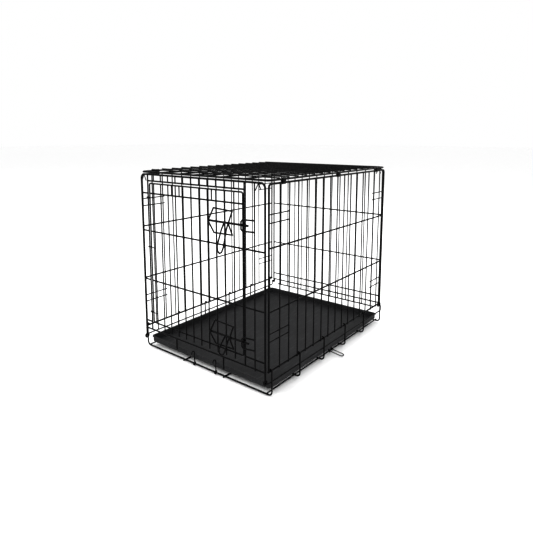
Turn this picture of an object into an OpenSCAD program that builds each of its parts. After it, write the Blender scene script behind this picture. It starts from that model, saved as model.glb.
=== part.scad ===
// Wire dog crate: a folding cage of welded round wire with a sliding pan and a bolted door.
// The origin is on the ground under the middle of the crate. +Z is up, the door faces -Y.

/* [Crate] */
// Overall width, across the wires that stand outside the side panels
crate_w = 466; // [450:1:480]
// Overall length, over the wires of the two end panels
crate_l = 619; // [600:1:640]
// Overall height, to the top of the roof's cross wires
crate_h = 522; // [510:1:530]

/* [Wires] */
// Thickness of the wire that frames each panel
frame_d = 5; // [4.7:0.1:5.2]
// Thickness of the long rails that brace each panel
rail_d = 4.2; // [4:0.1:4.4]
// Thickness of the close-set filler wires
fill_d = 3.3; // [3.1:0.1:3.4]
// Thickness of the hoops that cross under the crate
hoop_d = 4; // [3.8:0.1:4.2]
// Thickness of the runners and side wires of the base
runner_d = 3.6; // [3.2:0.1:3.7]

/* [Side panels] */
// Height of the lower edge, which is also its hinge axis
side_z = 66; // [65:0.5:70]
// Number of bays between the corner wires
side_bays = 16; // [14:1:18]
// Heights of the two rails
side_rail_z = [211, 362];
// Heights of the short corner stays
stay_z = [139, 158, 420, 440];
// Thickness of the corner stays
stay_d = 3; // [2.4:0.1:3]

/* [End panels] */
// Height of the front panel's hinge axis
front_axis_z = 39; // [38:0.5:40]
// Height of the rear panel's hinge axis
rear_axis_z = 56.5; // [56:0.5:57]
// Height of the lowest cross rail
end_bottom_z = 64; // [62:0.5:66]
// Corner radius at the top of the panel frames
end_corner_r = 12; // [8:1:24]

/* [Door] */
// Left post of the doorway, which carries the hinge loops
post_left_x = -193.5; // [-198:0.5:-190]
// Right post of the doorway
post_right_x = 158.5; // [155:0.5:162]
// Height of the doorway's header rail
header_z = 493.5; // [492:0.5:495]
// Lower and upper edges of the door frame
door_z = [87.5, 486.5];
// Heights of the door's inner rails
door_rail_z = [211.5, 353, 459];
// Heights of the two bolts
bolt_z = [127, 411];
// How far the lower and upper handles hang below their bolts
handle_drop = [52, 77];
// Thickness of the bolt rods
bolt_d = 5.5; // [5:0.1:5.6]

/* [Pan] */
// Length of the pan over its rim
pan_l = 580; // [560:1:582]
// Width of the pan over its rim
pan_w = 446; // [430:1:448]
// Height of the pan's rim above the ground
pan_top_z = 32; // [26:0.5:32]
// Wall thickness of the pan
pan_t = 2.5; // [2:0.1:3]

/* [Hidden] */
$fn = 24;
black = [0.05, 0.05, 0.055];
plastic = [0.2, 0.2, 0.21];
weld = 0.65; // how far welded wires sink into each other
knuckle = 0.1; // how much a kinked wire thickens at its bends
touch = 0.02; // gap between pieces that only touch
turn_gap = 0.4; // play round a wire that turns inside a loop
slide_gap = 0.35; // play round a bolt

function across(a, b) = (a + b) / 2 - weld;

hoop_x = crate_w / 2 - hoop_d / 2;
hook_r = frame_d / 2 + turn_gap + hoop_d / 2;
side_x = hoop_x - hook_r;
side_fill_x = side_x + across(frame_d, fill_d);
end_fill = across(frame_d, fill_d);
end_y = crate_l / 2 - fill_d / 2 - end_fill;
side_y = end_y - frame_d - 0.8;
side_pitch = 2 * side_y / side_bays;
rear_low_z = rear_axis_z - 10;
side_corner_r = 8;
end_x = side_x - frame_d - 1.1;
roof_fill_z = crate_h - fill_d / 2;
roof_z = roof_fill_z - across(frame_d, fill_d);
side_top_z = roof_z - 8;
end_top_z = roof_z - frame_d - 0.8;
sink = 0.2;
runner_z = runner_d / 2;
hoop_z = runner_z + (runner_d + hoop_d) / 2 - sink;
side_runner_z = hoop_z + (runner_d + hoop_d) / 2 - sink;
hoop_y = side_y - frame_d / 2 - hoop_d / 2 - 1;
hoop_pitch = 2 * hoop_y / 5;
runner_x = 218;
base_side_x = hoop_x - across(hoop_d, runner_d);
pin_in = 6;
eye_r = runner_d / 2 + 0.5 + frame_d / 2;
post_d = 4;
door_d = 4;
door_gap = 7.5;
door_left_x = post_left_x + door_gap;
door_right_x = post_right_x - 4.6;
door_pitch = (post_right_x - post_left_x) / 12;
door_fill_end = 13;
right_fill_x = 192;
finger_x = [-90.5, 85.5];
finger_z = 30;
rod_y = -end_y - end_fill - fill_d / 2 - slide_gap - bolt_d / 2;
guide_d = 4;
guide_y = -end_y - end_fill - fill_d / 2 - guide_d / 2 - touch;
guide_out_y = rod_y - bolt_d / 2 - slide_gap - guide_d / 2;
handle_y = guide_out_y + 0.2;
vee_d = 2.5;
hinge_loop_d = 2.6;
hinge_wrap = 248;
hinge_loop_z = [118, 308, 448];
rest_z = hoop_z + hoop_d / 2 + 0.3;
pan_z = 14.1; // clears the eyes of the storage clip
rib_x = [-170, -110, 110, 170];
rib_w = 5;
rib_end = 30;
pan_bevel = [2.5, 3];
pan_r = 10;
rim_w = 3;
rim_t = 2;
stop_d = 3;
stop_x = [-33.5, 46.5];
stop_r = hoop_d / 2 + slide_gap + stop_d / 2;
stop_h = 36;
stop_curl_r = 5;
clip_d = 2.6;
clip_y = [-7.5, 6.5];
clip_reach = 41;
clip_droop = 7;
clip_eye_r = runner_d / 2 + 0.35 + clip_d / 2;
strap_w = 11;
strap_t = 1;
strap_y = [-244, 7.5, 244];

function unit(v) = v / norm(v);
function turn(a, b, c) = acos(unit(b - a) * unit(c - b));
function trim(p, i, bend) =
    i == 0 || i == len(p) - 1 ? 0 : bend * tan(turn(p[i - 1], p[i], p[i + 1]) / 2);

// A straight round wire from a to b.
module rod(a, b, d) {
    v = b - a;
    translate(a) rotate([0, acos(v.z / norm(v)), atan2(v.y, v.x)]) cylinder(h = norm(v), d = d);
}

// The bend of a wire where it turns at b, on its way from a to c.
module elbow(a, b, c, d, bend) {
    t = turn(a, b, c);
    u = unit(b - a);
    e = (cos(t) * u - unit(c - b)) / sin(t);
    n = cross(e, u);
    o = b - bend * tan(t / 2) * u - bend * e;
    multmatrix([[e.x, u.x, n.x, o.x], [e.y, u.y, n.y, o.y], [e.z, u.z, n.z, o.z]])
        rotate_extrude(angle = t) translate([bend, 0]) circle(d = d);
}

// A round wire along a route of points, with the same bend radius at every inner point.
module wire(p, d, bend) {
    for (i = [0 : len(p) - 2]) {
        u = unit(p[i + 1] - p[i]);
        rod(p[i] + trim(p, i, bend) * u, p[i + 1] - trim(p, i + 1, bend) * u, d);
    }
    for (i = [1 : 1 : len(p) - 2]) elbow(p[i - 1], p[i], p[i + 1], d, bend);
}

// A closed loop of wire through a list of points.
module loop(p, d, bend) {
    n = len(p);
    for (i = [0 : n - 1]) {
        a = p[(i + n - 1) % n];
        b = p[i];
        c = p[(i + 1) % n];
        e = p[(i + 2) % n];
        u = unit(c - b);
        rod(b + bend * tan(turn(a, b, c) / 2) * u, c - bend * tan(turn(b, c, e) / 2) * u, d);
        elbow(a, b, c, d, bend);
    }
}

// A wire along a route of straight pieces, with a round knuckle at every bend.
module kinked(p, d) {
    for (i = [0 : len(p) - 2]) rod(p[i], p[i + 1], d);
    for (i = [1 : 1 : len(p) - 2]) translate(p[i]) sphere(d = d + knuckle);
}

// A closed loop of straight pieces of wire, with a round knuckle at every bend.
module kinked_loop(p, d) {
    for (i = [0 : len(p) - 1]) {
        rod(p[i], p[(i + 1) % len(p)], d);
        translate(p[i]) sphere(d = d + knuckle);
    }
}

// An arc of wire round an axis along Y, measured from +X towards +Z.
module arc_y(c, r, from, sweep, d)
    translate(c) rotate([90, 0, 0]) rotate([0, 0, from])
        rotate_extrude(angle = sweep) translate([r, 0]) circle(d = d);

// An arc of wire round an axis along X, measured from +Y towards +Z.
module arc_x(c, r, from, sweep, d)
    translate(c) rotate([90, 0, 90]) rotate([0, 0, from])
        rotate_extrude(angle = sweep) translate([r, 0]) circle(d = d);

// An arc of wire round an axis along Z, measured from +X towards +Y.
module arc_z(c, r, from, sweep, d)
    translate(c) rotate([0, 0, from])
        rotate_extrude(angle = sweep) translate([r, 0]) circle(d = d);

// One hoop: flat under the pan, up both sides, and hooked over the side panels' lower edges.
module hoop(y) {
    bend = 10;
    wire([[-hoop_x, y, side_z], [-hoop_x, y, hoop_z], [hoop_x, y, hoop_z], [hoop_x, y, side_z]],
        hoop_d, bend);
    for (m = [0, 1]) mirror([m, 0, 0]) arc_y([side_x, y, side_z], hook_r, 0, 115, hoop_d);
}

// The right side wire of the base: its front and rear ends turn inward as the end panels' pins.
module base_side_wire() {
    x = base_side_x;
    wire([[end_x - pin_in, -end_y, front_axis_z], [x, -end_y, front_axis_z],
        [x, end_y, front_axis_z], [x, end_y, rear_axis_z], [end_x - pin_in, end_y, rear_axis_z]],
        runner_d, 4);
}

// A long wire along the base: two lie under the hoops and two on top, beside the pan.
module runner(x, z)
    rod([x, -hoop_y - hoop_d / 2, z], [x, hoop_y + hoop_d / 2, z], runner_d);

module hoops() color(black) for (i = [0 : 5]) hoop(-hoop_y + i * hoop_pitch);

module runners() color(black) {
    for (x = [-75, 75]) runner(x, runner_z);
    for (x = [-runner_x, runner_x]) runner(x, side_runner_z);
}

module base_sides() color(black) {
    base_side_wire();
    mirror([1, 0, 0]) base_side_wire();
}

// A flat plate with round corners.
module rounded_plate(w, l, r, t) linear_extrude(t) {
    square([w - 2 * r, l], center = true);
    square([w, l - 2 * r], center = true);
    for (x = [-1, 1], y = [-1, 1]) translate([x * (w / 2 - r), y * (l / 2 - r)]) circle(r, $fn = 48);
}

module pan() color(plastic) translate([0, 0, pan_z]) difference() {
    h = pan_top_z - pan_z;
    w = pan_w - 2 * rim_w;
    l = pan_l - 2 * rim_w;
    e = pan_bevel[0];
    union() {
        hull() {
            rounded_plate(w - 2 * e, l - 2 * e, pan_r - e, h / 2);
            translate([0, 0, pan_bevel[1]]) rounded_plate(w, l, pan_r, h - pan_bevel[1] - rim_t / 2);
        }
        translate([0, 0, h - rim_t]) rounded_plate(pan_w, pan_l, pan_r + rim_w, rim_t);
    }
    translate([0, 0, pan_t]) rounded_plate(w - 2 * pan_t, l - 2 * pan_t, pan_r - pan_t, h);
}

// The long ribs moulded under the pan, on which it rests on the base.
module pan_ribs() color(plastic) for (x = rib_x)
    translate([x - rib_w / 2, -pan_l / 2 + rib_end, rest_z])
        cube([rib_w, pan_l - 2 * rib_end, pan_z - rest_z + weld]);

// The right side panel; the left one is its mirror image.
module side_frame() {
    x = side_x;
    wire([[x, -side_y, side_z], [x, -side_y, side_top_z], [x, side_y, side_top_z],
        [x, side_y, side_z]], frame_d, side_corner_r);
    rod([x, -side_y - frame_d / 2, side_z], [x, side_y + frame_d / 2, side_z], frame_d);
    for (i = [1 : side_bays - 1])
        rod([side_fill_x, -side_y + i * side_pitch, side_z - 1],
            [side_fill_x, -side_y + i * side_pitch, side_top_z + 1], fill_d);
    for (z = side_rail_z) rod([x, -side_y, z], [x, side_y, z], rail_d);
}

// The short stays that stiffen the corners of the right side panel.
module side_stays() {
    x = side_fill_x - (fill_d + stay_d) / 2 - touch;
    far = side_y - 2 * side_pitch - 3;
    for (z = stay_z, k = [-1, 1]) rod([x, k * far, z], [x, k * (side_y + 2), z], stay_d);
}

module side_right() color(black) side_frame();
module side_left() color(black) mirror([1, 0, 0]) side_frame();
module stays_right() color(black) side_stays();
module stays_left() color(black) mirror([1, 0, 0]) side_stays();

module roof() color(black) {
    loop([[-side_x, -side_y, roof_z], [side_x, -side_y, roof_z], [side_x, side_y, roof_z],
        [-side_x, side_y, roof_z]], frame_d, 12);
    for (i = [1 : side_bays - 1]) {
        y = -side_y + i * side_pitch;
        rod([-side_x - 2, y, roof_fill_z], [side_x + 2, y, roof_fill_z], fill_d);
    }
    for (x = [-150, -75, -20, 20, 75, 150]) rod([x, -side_y, roof_z], [x, side_y, roof_z], rail_d);
}

// The hinge straps along the right edge of the roof: each is bent tight round the roof's edge
// wire, and loose round the side panel's top edge, which turns in it.
module straps() {
    drop = roof_z - side_top_z;
    hole = frame_d / 2 + turn_gap;
    grip = frame_d / 2 + touch;
    for (y = strap_y) translate([side_x, y + strap_w / 2, roof_z]) rotate([90, 0, 0])
        linear_extrude(strap_w) difference() {
            union() {
                circle(hole + strap_t);
                translate([0, -drop]) circle(hole + strap_t);
                translate([-hole - strap_t, -drop]) square([2 * (hole + strap_t), drop]);
            }
            circle(grip);
            translate([0, -drop]) circle(hole);
            translate([-grip, -drop]) square([2 * grip, drop]);
        }
}

module straps_right() color(black) straps();
module straps_left() color(black) mirror([1, 0, 0]) straps();

// The bent wire round an end panel.
module end_outline(axis_z) wire([[-end_x, -end_y, axis_z + eye_r], [-end_x, -end_y, end_top_z],
    [end_x, -end_y, end_top_z], [end_x, -end_y, axis_z + eye_r]], frame_d, end_corner_r);

// The eyes at the feet of an end panel's legs, which turn on the pins of the base.
module end_eyes(axis_z)
    for (x = [-end_x, end_x]) arc_x([x, -end_y, axis_z], eye_r, 90, 300, frame_d);

// A filler wire of the front panel.
module front_fill(x, from, to)
    rod([x, -end_y - end_fill, from], [x, -end_y - end_fill, to], fill_d);

// A post of the doorway, with the stub rails at heights z that tie it to the panel's leg at side.
module doorway_post(x, side, z) {
    rod([x, -end_y, end_bottom_z], [x, -end_y, end_top_z], post_d);
    for (h = z) rod([min(x, side), -end_y, h], [max(x, side), -end_y, h], rail_d);
}

module front_outline() color(black) end_outline(front_axis_z);
module front_eyes() color(black) end_eyes(front_axis_z);
module sill() color(black)
    rod([-end_x, -end_y, end_bottom_z], [end_x, -end_y, end_bottom_z], rail_d);
module left_post() color(black)
    doorway_post(post_left_x, -end_x, concat([door_z[0]], door_rail_z));
module right_post() color(black) {
    doorway_post(post_right_x, end_x, [door_z[0], door_rail_z[0], door_rail_z[1]]);
    front_fill(right_fill_x, end_bottom_z - 3, end_top_z + 1);
}
module header() color(black) {
    rod([post_left_x, -end_y, header_z], [post_right_x, -end_y, header_z], rail_d);
    for (i = [1 : 11]) front_fill(post_left_x + i * door_pitch, header_z - 1, end_top_z + 1);
}
module fingers() color(black) for (x = finger_x)
    rod([x, -end_y, finger_z], [x, -end_y, end_bottom_z], rail_d);

// A V-shaped wire that stiffens a top corner of an end panel, in front of its top edge.
module corner_vees() {
    y = -end_y - (frame_d + vee_d) / 2 - touch;
    for (s = [-1, 1])
        kinked([[s * 211, y, end_top_z - 15], [s * 204, y, end_top_z],
            [s * 195, y, end_top_z - 17]], vee_d);
}

module vees_front() color(black) corner_vees();
module vees_rear() color(black) rotate([0, 0, 180]) corner_vees();

module rear_panel() color(black) rotate([0, 0, 180]) {
    end_outline(rear_axis_z);
    rod([-200, -end_y, rear_low_z], [200, -end_y, rear_low_z], rail_d);
    for (i = [1 : 13]) front_fill(-end_x + i * end_x / 7, rear_low_z - 2, end_top_z + 1);
    for (z = concat([end_bottom_z, door_z[0]], side_rail_z))
        rod([-end_x, -end_y, z], [end_x, -end_y, z], rail_d);
}

module rear_eyes() color(black) rotate([0, 0, 180]) end_eyes(rear_axis_z);

// A loop of the door's wire round the left post, open towards the inside of the crate, with a
// tail to the first filler wire.
module hinge_loop(z) {
    r = post_d / 2 + turn_gap + hinge_loop_d / 2;
    arc_z([post_left_x, -end_y, z], r, 270 - hinge_wrap / 2, hinge_wrap, hinge_loop_d);
    rod([post_left_x + sqrt(r * r - end_fill * end_fill), -end_y - end_fill, z],
        [post_left_x + door_pitch, -end_y - end_fill, z], hinge_loop_d);
}

module door() color(black) {
    loop([[door_left_x, -end_y, door_z[0]], [door_right_x, -end_y, door_z[0]],
        [door_right_x, -end_y, door_z[1]], [door_left_x, -end_y, door_z[1]]], door_d, 5);
    for (z = door_rail_z) rod([door_left_x, -end_y, z], [door_right_x, -end_y, z], rail_d);
    for (i = [1 : 11])
        front_fill(post_left_x + i * door_pitch, door_z[0] - door_fill_end, door_z[1] + 1);
    for (i = [3.5, 4.5, 8.5])
        front_fill(post_left_x + i * door_pitch, door_rail_z[2] - 1, door_z[1] + 1);
}

module door_loops() color(black) for (z = hinge_loop_z) hinge_loop(z);

// The bent wire that holds a bolt to the door and sets its travel.
module guide(z) kinked_loop([
    [65.5, guide_y, z + 32], [126.5, guide_y, z + 29], [119.5, guide_out_y, z], [126.5, guide_y, z - 28],
    [66.5, guide_y, z - 29], [52.5, guide_out_y, z]], guide_d);

// A bolt: a straight rod with a wire handle that hangs in front of the guide. The handle reaches
// down from the rod by drop.
module bolt(z, drop) {
    k = drop / 77;
    rod([48.5, rod_y, z], [176.5, rod_y, z], bolt_d);
    kinked([[101.5, rod_y, z], [96.5, handle_y, z - 18 * k], [82.5, handle_y, z - 58 * k],
        [83.5, handle_y, z - 72 * k], [89.5, handle_y, z - 77 * k], [96.5, handle_y, z - 73 * k],
        [102.5, handle_y, z - 60 * k], [112.5, handle_y, z - 18 * k], [114.5, rod_y, z]], guide_d);
}

// The bent wire on the front panel that a bolt slides behind.
module keeper(z) {
    y = guide_y;
    kinked([[right_fill_x + 2, y, z + 14], [164.5, guide_out_y, z + 14], [159.5, guide_out_y, z + 9],
        [159.5, guide_out_y, z - 9], [164.5, guide_out_y, z - 13], [right_fill_x + 2, y, z - 13]],
        guide_d);
}

module guide_lower() color(black) guide(bolt_z[0]);
module guide_upper() color(black) guide(bolt_z[1]);
module bolt_lower() color(black) bolt(bolt_z[0], handle_drop[0]);
module bolt_upper() color(black) bolt(bolt_z[1], handle_drop[1]);
module keeper_lower() color(black) keeper(bolt_z[0]);
module keeper_upper() color(black) keeper(bolt_z[1]);

// A stop: a ring round the front hoop, a leg in front of the pan and a curled thumb tab.
module stop(x) {
    y = -hoop_y;
    arc_x([x, y, hoop_z], stop_r, 90, 320, stop_d);
    rod([x, y, hoop_z + stop_r], [x, y, stop_h], stop_d);
    arc_x([x, y - stop_curl_r, stop_h], stop_curl_r, 0, 205, stop_d);
}

module stop_left() color(black) stop(stop_x[0]);
module stop_right() color(black) stop(stop_x[1]);

// The storage clip: a long loop of wire that turns on the right runner.
module storage_clip() color(black) translate([runner_x, 0, side_runner_z])
    rotate([0, clip_droop, 0]) {
        for (y = clip_y) arc_y([0, y, 0], clip_eye_r, 0, 320, clip_d);
        wire([[clip_eye_r, clip_y[0], 0], [clip_reach, clip_y[0], 0], [clip_reach, clip_y[1], 0],
            [clip_eye_r, clip_y[1], 0]], clip_d, 6);
    }

hoops();
runners();
base_sides();
pan();
pan_ribs();
side_right();
side_left();
stays_right();
stays_left();
roof();
straps_right();
straps_left();
front_outline();
front_eyes();
sill();
left_post();
right_post();
header();
fingers();
vees_front();
keeper_upper();
keeper_lower();
rear_panel();
rear_eyes();
vees_rear();
door();
door_loops();
guide_upper();
guide_lower();
bolt_upper();
bolt_lower();
stop_left();
stop_right();
storage_clip();
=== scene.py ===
# Wire dog crate: the looks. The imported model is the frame. The boxes of its nodes place what is
# added here, and what no box gives (rail heights, wire radii) repeats the part's source.
import math
import random

import bpy
import bmesh
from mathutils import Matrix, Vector


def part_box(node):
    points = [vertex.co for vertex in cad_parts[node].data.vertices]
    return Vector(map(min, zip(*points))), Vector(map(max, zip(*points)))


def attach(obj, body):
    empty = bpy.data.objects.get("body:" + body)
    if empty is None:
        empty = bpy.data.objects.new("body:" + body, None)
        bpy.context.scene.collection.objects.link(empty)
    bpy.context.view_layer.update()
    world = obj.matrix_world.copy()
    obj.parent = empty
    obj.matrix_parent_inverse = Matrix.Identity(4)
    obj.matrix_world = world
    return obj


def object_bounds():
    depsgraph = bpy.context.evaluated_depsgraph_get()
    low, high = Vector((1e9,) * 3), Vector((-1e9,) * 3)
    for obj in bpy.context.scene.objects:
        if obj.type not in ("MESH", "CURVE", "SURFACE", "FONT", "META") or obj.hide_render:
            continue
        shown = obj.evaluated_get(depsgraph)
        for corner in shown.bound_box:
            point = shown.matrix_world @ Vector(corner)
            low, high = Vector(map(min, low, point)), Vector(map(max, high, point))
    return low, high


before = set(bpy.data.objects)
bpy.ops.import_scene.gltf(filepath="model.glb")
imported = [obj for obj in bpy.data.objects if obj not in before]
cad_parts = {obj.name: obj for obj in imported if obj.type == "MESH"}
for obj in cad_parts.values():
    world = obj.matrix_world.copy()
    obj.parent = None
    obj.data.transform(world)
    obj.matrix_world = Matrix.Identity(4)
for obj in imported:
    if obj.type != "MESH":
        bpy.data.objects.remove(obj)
cad_lo, cad_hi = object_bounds()
MM = 0.001
X, Y, Z = 0, 1, 2


# ---------------------------------------------------------------- materials
def new_material(name):
    m = bpy.data.materials.new(name)
    m.use_nodes = True
    nt = m.node_tree
    nt.nodes.clear()
    out = nt.nodes.new("ShaderNodeOutputMaterial")
    bsdf = nt.nodes.new("ShaderNodeBsdfPrincipled")
    nt.links.new(bsdf.outputs["BSDF"], out.inputs["Surface"])
    coord = nt.nodes.new("ShaderNodeTexCoord")
    return m, nt, bsdf, coord.outputs["Object"]


def noise(nt, vec, scale, detail, rough=0.55):
    n = nt.nodes.new("ShaderNodeTexNoise")
    n.inputs["Scale"].default_value = scale
    n.inputs["Detail"].default_value = detail
    n.inputs["Roughness"].default_value = rough
    nt.links.new(vec, n.inputs["Vector"])
    return n.outputs["Fac"]


def ramp(nt, fac, stops):
    """Stops are (position, value) pairs. A value is a grey or a colour."""
    r = nt.nodes.new("ShaderNodeValToRGB")
    while len(r.color_ramp.elements) < len(stops):
        r.color_ramp.elements.new(0.5)
    for e, (pos, col) in zip(r.color_ramp.elements, stops):
        e.position = pos
        e.color = (col, col, col, 1) if isinstance(col, float) else (*col, 1)
    nt.links.new(fac, r.inputs["Fac"])
    return r.outputs["Color"]


def bump(nt, bsdf, layers):
    """Layers are (height, strength, distance), each laid over the one before."""
    last = None
    for height, strength, distance in layers:
        b = nt.nodes.new("ShaderNodeBump")
        b.inputs["Strength"].default_value = strength
        b.inputs["Distance"].default_value = distance
        nt.links.new(height, b.inputs["Height"])
        if last is not None:
            nt.links.new(last, b.inputs["Normal"])
        last = b.outputs["Normal"]
    nt.links.new(last, bsdf.inputs["Normal"])


# Far below real paint's and plastic's, so that they stay black under the white world
PAINT_SPECULAR = 0.06
PLASTIC_SPECULAR = 0.10


def wire_coating():
    """Baked black paint on drawn wire: thin orange peel, drips and dull patches, faint rubs."""
    m, nt, bsdf, co = new_material("wire_coating")
    patch = noise(nt, co, 45, 5)
    peel = noise(nt, co, 900, 3)
    drip = noise(nt, co, 160, 4)
    col = ramp(nt, patch, [(0.30, (0.0025, 0.0025, 0.0028)), (0.62, (0.0048, 0.0048, 0.0052)),
                           (0.80, (0.0095, 0.0093, 0.0090))])
    nt.links.new(col, bsdf.inputs["Base Color"])
    nt.links.new(ramp(nt, drip, [(0.35, 0.24), (0.65, 0.46)]), bsdf.inputs["Roughness"])
    bsdf.inputs["Specular IOR Level"].default_value = PAINT_SPECULAR
    bump(nt, bsdf, [(drip, 0.25, 0.0004), (peel, 0.30, 0.00012)])
    return m


def weld_coating():
    """The same paint over a weld: rougher, a little greyer, pitted."""
    m, nt, bsdf, co = new_material("weld_coating")
    grain = noise(nt, co, 1400, 4)
    blot = noise(nt, co, 260, 5)
    col = ramp(nt, blot, [(0.35, (0.003, 0.003, 0.0032)), (0.7, (0.010, 0.0098, 0.0095))])
    nt.links.new(col, bsdf.inputs["Base Color"])
    bsdf.inputs["Specular IOR Level"].default_value = PAINT_SPECULAR
    nt.links.new(ramp(nt, grain, [(0.3, 0.38), (0.7, 0.62)]), bsdf.inputs["Roughness"])
    bump(nt, bsdf, [(blot, 0.5, 0.0005), (grain, 0.5, 0.0002)])
    return m


def pan_plastic():
    """Moulded black plastic: a fine leather-like grain, broad sheen changes and light scuffs."""
    m, nt, bsdf, co = new_material("pan_plastic")
    broad = noise(nt, co, 7, 6)
    vor = nt.nodes.new("ShaderNodeTexVoronoi")
    vor.inputs["Scale"].default_value = 850
    nt.links.new(co, vor.inputs["Vector"])
    grain = vor.outputs["Distance"]
    stretch = nt.nodes.new("ShaderNodeMapping")
    stretch.inputs["Scale"].default_value = (60, 6, 60)
    stretch.inputs["Rotation"].default_value = (0, 0, 0.5)
    nt.links.new(co, stretch.inputs["Vector"])
    scuff = noise(nt, stretch.outputs["Vector"], 3.0, 8, 0.7)
    col = ramp(nt, broad, [(0.30, (0.0190, 0.0192, 0.0200)), (0.70, (0.0350, 0.0352, 0.0366))])
    mix = nt.nodes.new("ShaderNodeMix")
    mix.data_type = "RGBA"
    nt.links.new(ramp(nt, scuff, [(0.52, 0.0), (0.72, 0.50)]), mix.inputs["Factor"])
    nt.links.new(col, mix.inputs["A"])
    mix.inputs["B"].default_value = (0.085, 0.085, 0.088, 1)
    nt.links.new(mix.outputs["Result"], bsdf.inputs["Base Color"])
    bsdf.inputs["Specular IOR Level"].default_value = PLASTIC_SPECULAR
    nt.links.new(ramp(nt, broad, [(0.3, 0.44), (0.7, 0.60)]), bsdf.inputs["Roughness"])
    bump(nt, bsdf, [(scuff, 0.10, 0.0003), (grain, 0.35, 0.00025)])
    return m


def pale_floor():
    """A near-white floor with faint soft greys."""
    m, nt, bsdf, co = new_material("pale_floor")
    grey = noise(nt, co, 3, 3)
    nt.links.new(ramp(nt, grey, [(0.3, 0.978), (0.7, 0.99)]), bsdf.inputs["Base Color"])
    bsdf.inputs["Roughness"].default_value = 0.9
    bsdf.inputs["Specular IOR Level"].default_value = 0.1
    return m


coat = wire_coating()
weld = weld_coating()
plastic = pan_plastic()
for name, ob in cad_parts.items():
    ob.data.materials.clear()
    ob.data.materials.append(plastic if name in ("pan", "pan_ribs") else coat)


def mesh_object(name, bm, material):
    """An object made of bm, in the scene, with one material."""
    me = bpy.data.meshes.new(name)
    bm.to_mesh(me)
    bm.free()
    me.materials.append(material)
    ob = bpy.data.objects.new(name, me)
    bpy.context.scene.collection.objects.link(ob)
    return ob


# ---------------------------------------------------------------- weld nuggets
rng = random.Random(24)
SQUASH = 0.62  # thickness of a nugget against its width
RIPPLE = 0.07  # how far its surface strays from smooth, against its radius


def nuggets(name, body, points, size, flat_axis):
    """One mesh of small uneven nuggets, one at each point, squashed along flat_axis."""
    bm = bmesh.new()
    for p in points:
        radii = [size * rng.uniform(0.92, 1.12) for _ in range(3)]
        radii[flat_axis] *= SQUASH
        phase = 300 * p[Z]
        ball = bmesh.ops.create_icosphere(bm, subdivisions=2, radius=1.0)
        for v in ball["verts"]:
            x, y, z = v.co
            swell = 1 + RIPPLE * math.sin(5 * x + phase) * math.sin(4 * y + 7 * z)
            v.co = Vector(p) + Vector((x * radii[X], y * radii[Y], z * radii[Z])) * swell
    for f in bm.faces:
        f.smooth = True
    ob = mesh_object(name, bm, weld)
    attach(ob, body)


def mid(node, axis):
    """The middle of a node's box along one axis."""
    lo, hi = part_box(node)
    return (lo[axis] + hi[axis]) / 2


# Radii of the wires
FRAME_R = 2.5 * MM
FILL_R = 1.65 * MM
HOOP_R = 2 * MM
# Bays between the wires of the panels and between the hoops of the base
SIDE_BAYS = 16
REAR_BAYS = 14
DOOR_BAYS = 12
HOOP_BAYS = 5
# Places of the rails, posts and runners
SIDE_RAIL_Z = [211 * MM, 362 * MM]
ROOF_WIRE_X = [20 * MM, 75 * MM, 150 * MM]
END_BOTTOM_Z = 64 * MM
REAR_LOW_Z = 46.5 * MM
DOOR_LOW_Z = 87.5 * MM
DOOR_TOP_Z = 486.5 * MM
DOOR_RAIL_Z = [211.5 * MM, 353 * MM, 459 * MM]
HEADER_Z = 493.5 * MM
LEFT_POST_X = -193.5 * MM
RIGHT_POST_X = 158.5 * MM
RIGHT_FILL_X = 192 * MM
INNER_RUNNER_X = 75 * MM
INNER_RUNNER_TOP = 3.6 * MM
SIDE_RUNNER_X = 218 * MM
SIDE_RUNNER_FOOT = 7.2 * MM
BASE_SIDE_Z = 39 * MM
# Radii of the nuggets, by what they join
FILLER_WELD = 2.3 * MM
CORNER_WELD = 2.5 * MM
POST_WELD = 2.4 * MM
BASE_WELD = 2.2 * MM
# From the fillers' inner side to the middle of the wires behind them, at the sides' corners and
# at the roof's edge
CORNER_INSET = 1.9 * MM
ROOF_EDGE_INSET = 2 * MM
# From the middle of a hoop to the side wire of the base
HOOP_INSET = 1.9 * MM

# Side panels: each filler on each level, then the lowest three levels on the corner wires
lo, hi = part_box("side_right")
side_y = hi[Y] - FRAME_R
side_face = hi[X] - 2 * FILL_R
side_pitch = 2 * side_y / SIDE_BAYS
filler_y = [-side_y + i * side_pitch for i in range(1, SIDE_BAYS)]
side_levels = [lo[Z] + FRAME_R, *SIDE_RAIL_Z, hi[Z] - FRAME_R]
for s, body in ((1, "right_side"), (-1, "left_side")):
    nuggets(body + "_welds", body,
            [(s * side_face, y, z) for y in filler_y for z in side_levels], FILLER_WELD, X)
    nuggets(body + "_corner_welds", body,
            [(s * (side_face - CORNER_INSET), k * side_y, z) for k in (-1, 1) for z in side_levels[:3]],
            CORNER_WELD, X)

# Roof: each cross wire on each long wire
lo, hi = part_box("roof")
roof_face = hi[Z] - 2 * FILL_R
roof_edge_x = side_face - ROOF_EDGE_INSET
roof_x = [-roof_edge_x, *[-x for x in reversed(ROOF_WIRE_X)], *ROOF_WIRE_X, roof_edge_x]
nuggets("top_welds", "top", [(x, y, roof_face) for x in roof_x for y in filler_y], FILLER_WELD, Z)

# Rear panel: each filler on each level
lo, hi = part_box("rear_panel")
end_x = hi[X] - FRAME_R
rear_face = hi[Y] - 2 * FILL_R
top_z = hi[Z] - FRAME_R
rear_x = [-end_x + i * 2 * end_x / REAR_BAYS for i in range(1, REAR_BAYS)]
rear_levels = [REAR_LOW_Z, END_BOTTOM_Z, DOOR_LOW_Z, *SIDE_RAIL_Z, top_z]
nuggets("rear_end_welds", "rear_end",
        [(x, rear_face, z) for x in rear_x for z in rear_levels], FILLER_WELD, Y)

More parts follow.
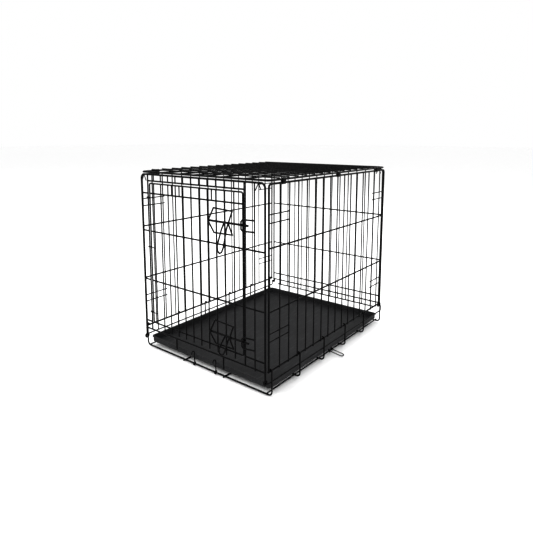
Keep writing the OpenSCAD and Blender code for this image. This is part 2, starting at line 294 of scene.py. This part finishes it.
# Door and front panel: the fillers share their places, and the posts have the door's rails
front_face = -rear_face
front_y = mid("sill", Y)
door_pitch = (RIGHT_POST_X - LEFT_POST_X) / DOOR_BAYS
door_x = [LEFT_POST_X + i * door_pitch for i in range(1, DOOR_BAYS)]
door_levels = [DOOR_LOW_Z, *DOOR_RAIL_Z, DOOR_TOP_Z]
post_levels = [END_BOTTOM_Z, DOOR_LOW_Z, *DOOR_RAIL_Z[:2], top_z]
nuggets("door_welds", "door_leaf",
        [(x, front_face, z) for x in door_x for z in door_levels], FILLER_WELD, Y)
nuggets("front_end_welds", "front_end",
        [(x, front_face, z) for x in door_x for z in (HEADER_Z, top_z)]
        + [(RIGHT_FILL_X, front_face, z) for z in post_levels], FILLER_WELD, Y)
nuggets("front_end_post_welds", "front_end",
        [(x, front_y, z) for x in (LEFT_POST_X, RIGHT_POST_X) for z in post_levels], POST_WELD, Y)

# Base: each hoop on the runners under and over it, and on the side wires
lo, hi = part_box("hoops")
hoop_x = hi[X] - HOOP_R
hoop_y = hi[Y] - HOOP_R
hoops = [-hoop_y + i * 2 * hoop_y / HOOP_BAYS for i in range(HOOP_BAYS + 1)]
nuggets("base_welds", "base",
        [(x, y, INNER_RUNNER_TOP) for x in (-INNER_RUNNER_X, INNER_RUNNER_X) for y in hoops]
        + [(x, y, SIDE_RUNNER_FOOT) for x in (-SIDE_RUNNER_X, SIDE_RUNNER_X) for y in hoops],
        BASE_WELD, Z)
nuggets("base_side_welds", "base",
        [(s * (hoop_x - HOOP_INSET), y, BASE_SIDE_Z) for s in (-1, 1) for y in hoops],
        FILLER_WELD, X)


# ---------------------------------------------------------------- the pan's moulded beads
CORNER_STEPS = 8
RING_STEPS = 10
lo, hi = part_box("pan")
rim_x, rim_y = hi[X], hi[Y]


def bead(name, inset, corner, z, radius):
    """A closed round bead that follows the pan's outline, inset from it, at height z."""
    half_x, half_y = rim_x - inset, rim_y - inset
    path = []
    for k, (sx, sy) in enumerate(((1, 1), (-1, 1), (-1, -1), (1, -1))):
        for i in range(CORNER_STEPS + 1):
            a = math.pi / 2 * (k + i / CORNER_STEPS)
            path.append(Vector((sx * (half_x - corner) + corner * math.cos(a),
                                sy * (half_y - corner) + corner * math.sin(a), z)))
    up = Vector((0, 0, 1))
    angles = [2 * math.pi * j / RING_STEPS for j in range(RING_STEPS)]
    bm = bmesh.new()
    rings = []
    for i, p in enumerate(path):
        along = (path[(i + 1) % len(path)] - path[i - 1]).normalized()
        out = along.cross(up)
        rings.append([bm.verts.new(p + radius * (math.cos(t) * out + math.sin(t) * up))
                      for t in angles])
    for i, ring in enumerate(rings):
        last = rings[i - 1]
        for j in range(RING_STEPS):
            n = (j + 1) % RING_STEPS
            f = bm.faces.new((last[j], ring[j], ring[n], last[n]))
            f.smooth = True
    bmesh.ops.recalc_face_normals(bm, faces=bm.faces)
    ob = mesh_object(name, bm, plastic)
    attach(ob, "tray")


bead("pan_rim_bead", inset=0.9 * MM, corner=12 * MM, z=hi[Z] - 1.0 * MM, radius=1.15 * MM)
bead("pan_lower_bead", inset=3.2 * MM, corner=10 * MM, z=lo[Z] + 8 * MM, radius=0.8 * MM)


# ---------------------------------------------------------------- stage, light, camera
def area(name, loc, target, size, power):
    """A square soft light that looks from loc to target."""
    d = bpy.data.lights.new(name, "AREA")
    d.shape = "SQUARE"
    d.size = size
    d.energy = power
    o = bpy.data.objects.new(name, d)
    o.location = loc
    o.rotation_mode = "QUATERNION"
    o.rotation_quaternion = (Vector(target) - Vector(loc)).to_track_quat("-Z", "Y")
    bpy.context.scene.collection.objects.link(o)


area("key", loc=(-1.6, -2.6, 2.6), target=(0, 0, 0.2), size=2.0, power=85)
area("fill", loc=(2.8, -1.2, 1.6), target=(0, 0, 0.25), size=1.8, power=45)
area("back", loc=(0.3, 3.0, 2.6), target=(0, 0, 0.3), size=2.2, power=60)

world = bpy.data.worlds.new("studio")
world.use_nodes = True
world.node_tree.nodes["Background"].inputs["Color"].default_value = (1, 1, 1, 1)
world.node_tree.nodes["Background"].inputs["Strength"].default_value = 1.0
bpy.context.scene.world = world

FLOOR_HALF = 30
FLOOR_GAP = 0.5 * MM
bm = bmesh.new()
bmesh.ops.create_grid(bm, x_segments=1, y_segments=1, size=FLOOR_HALF)
floor = mesh_object("floor", bm, pale_floor())
floor.location.z = cad_lo[Z] - FLOOR_GAP

# The camera fitted to the crate in the photo, with its view shifted down
AZIMUTH = 38.3
ELEVATION = 8.06
az, el = math.radians(AZIMUTH), math.radians(ELEVATION)
to_camera = Vector((math.sin(az) * math.cos(el), -math.cos(az) * math.cos(el), math.sin(el)))
cam = bpy.data.cameras.new("photo_camera")
cam.lens = 31.91
cam.shift_y = -0.1176
cam.clip_start = 0.05
cam.clip_end = 100
cam_ob = bpy.data.objects.new("photo_camera", cam)
cam_ob.location = (0.8678, -1.1198, 0.6127)
cam_ob.rotation_mode = "QUATERNION"
cam_ob.rotation_quaternion = (-to_camera).to_track_quat("-Z", "Y")
bpy.context.scene.collection.objects.link(cam_ob)
bpy.context.scene.camera = cam_ob
view = bpy.context.scene.view_settings
view.view_transform = "Standard"
view.gamma = 0.75  # the high contrast of a catalogue photo: thin wires stay black
